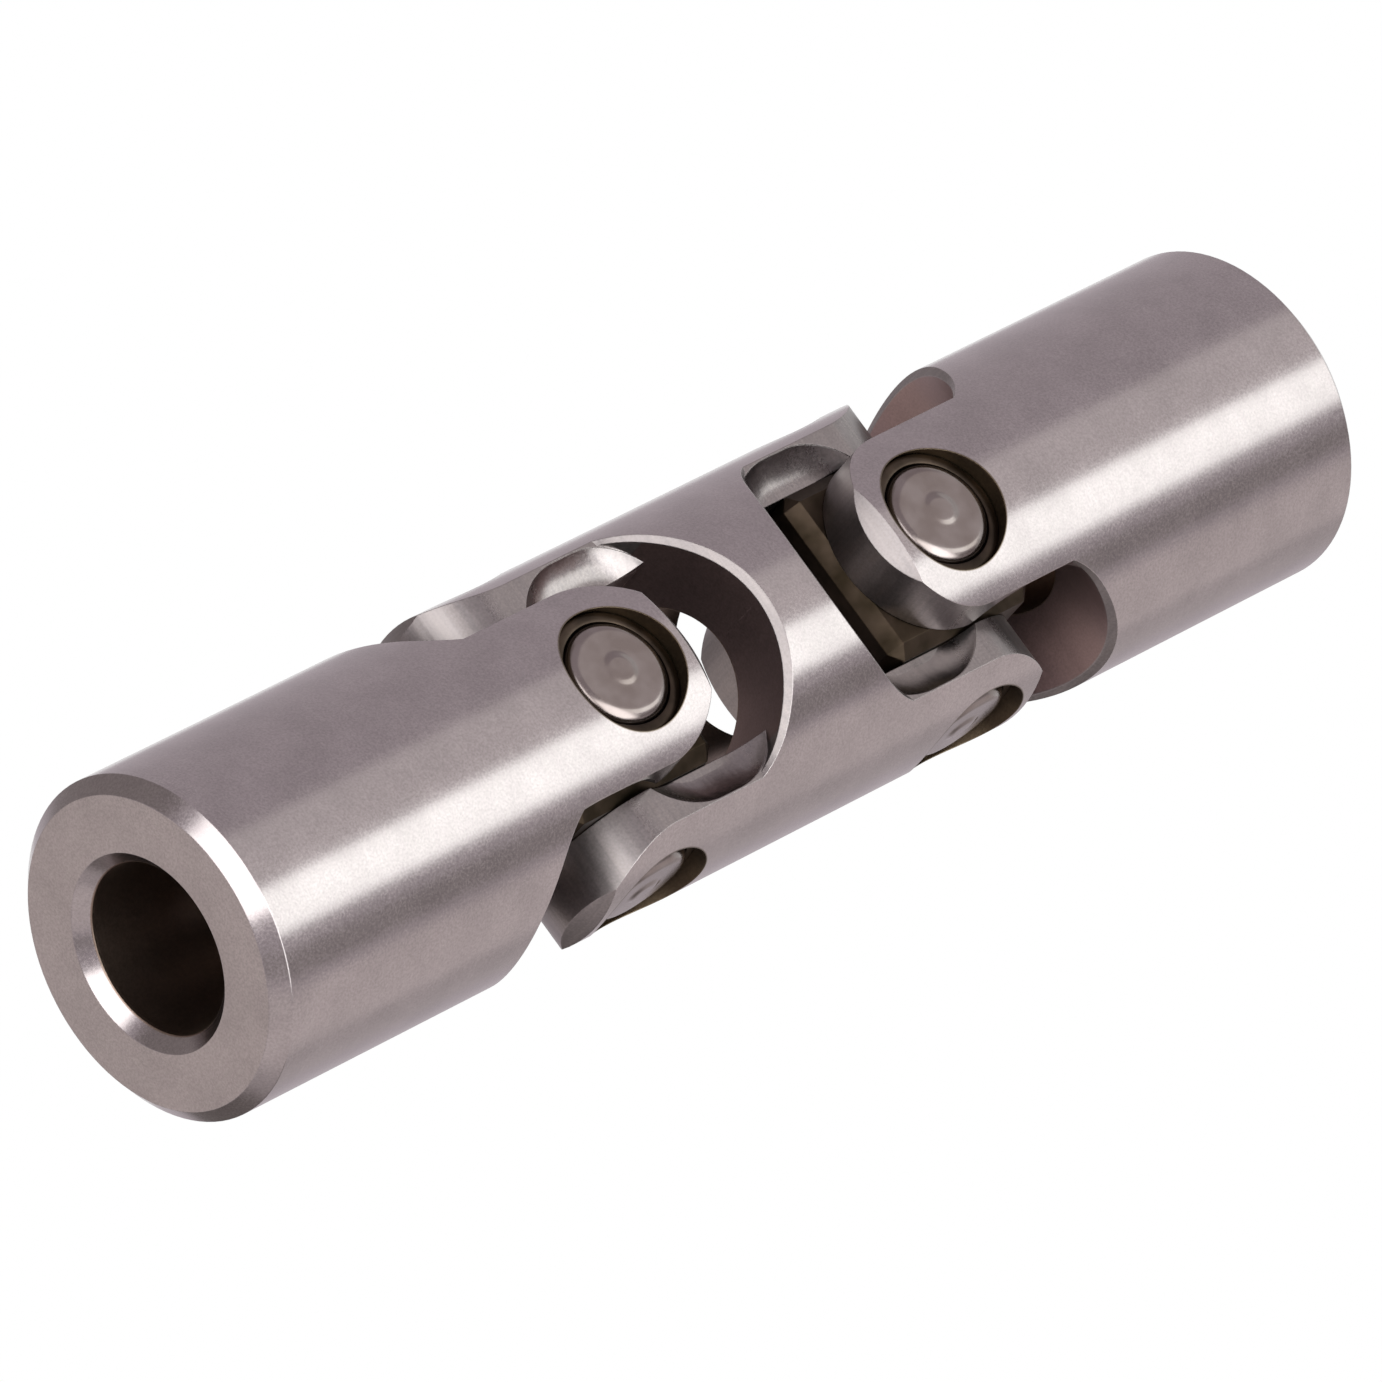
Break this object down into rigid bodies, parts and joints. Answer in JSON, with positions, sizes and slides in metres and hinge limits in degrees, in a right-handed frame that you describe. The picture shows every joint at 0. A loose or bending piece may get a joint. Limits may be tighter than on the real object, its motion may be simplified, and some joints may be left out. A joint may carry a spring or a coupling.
{
  "type": "double universal joint",
  "caption": "Double universal joint: bored end yokes and a double fork between them, linked by pinned centre blocks, to turn one shaft from another at an angle.",
  "frame": {"origin": "centre of the coupling, on the shaft axis halfway between the two joints", "axes": "+Z along the shaft axis out of the drive yoke's bore, X along the end yokes' pins, Y along the double fork's pins, all joints straight"},
  "size_m": [0.02, 0.02, 0.088],
  "materials": {
    "fork_steel": "turned and fine-ground carbon steel, satin, lightly oiled",
    "pin_steel": "hardened pin, ground round with a faced end",
    "bush_steel": "turned plain bearing bush, oiled",
    "block_steel": "milled and hardened block, oil film gives it an olive tint"
  },
  "bodies": {
    "drive_yoke": {"drive_yoke": "fork_steel", "drive_yoke_bush_left": "bush_steel", "drive_yoke_bush_right": "bush_steel"},
    "drive_cross": {"drive_centre_block": "block_steel", "drive_long_pin": "pin_steel", "drive_short_pin_front": "pin_steel", "drive_short_pin_back": "pin_steel"},
    "double_fork": {"double_fork": "fork_steel", "double_fork_bush_drive_front": "bush_steel", "double_fork_bush_drive_back": "bush_steel", "double_fork_bush_driven_front": "bush_steel", "double_fork_bush_driven_back": "bush_steel"},
    "driven_cross": {"driven_centre_block": "block_steel", "driven_long_pin": "pin_steel", "driven_short_pin_front": "pin_steel", "driven_short_pin_back": "pin_steel"},
    "driven_yoke": {"driven_yoke": "fork_steel", "driven_yoke_bush_left": "bush_steel", "driven_yoke_bush_right": "bush_steel"}
  },
  "joints": [
    {"name": "drive_yoke_hinge", "type": "hinge", "parent": "drive_yoke", "child": "drive_cross", "pos_m": [0, 0, 0.013], "axis": [1, 0, 0], "range_deg": [-35, 35]},
    {"name": "drive_fork_hinge", "type": "hinge", "parent": "drive_cross", "child": "double_fork", "pos_m": [0, 0, 0.013], "axis": [0, 1, 0], "range_deg": [-35, 35]},
    {"name": "driven_fork_hinge", "type": "hinge", "parent": "double_fork", "child": "driven_cross", "pos_m": [0, 0, -0.013], "axis": [0, 1, 0], "range_deg": [-35, 35]},
    {"name": "driven_yoke_hinge", "type": "hinge", "parent": "driven_cross", "child": "driven_yoke", "pos_m": [0, 0, -0.013], "axis": [1, 0, 0], "range_deg": [-35, 35]}
  ]
}
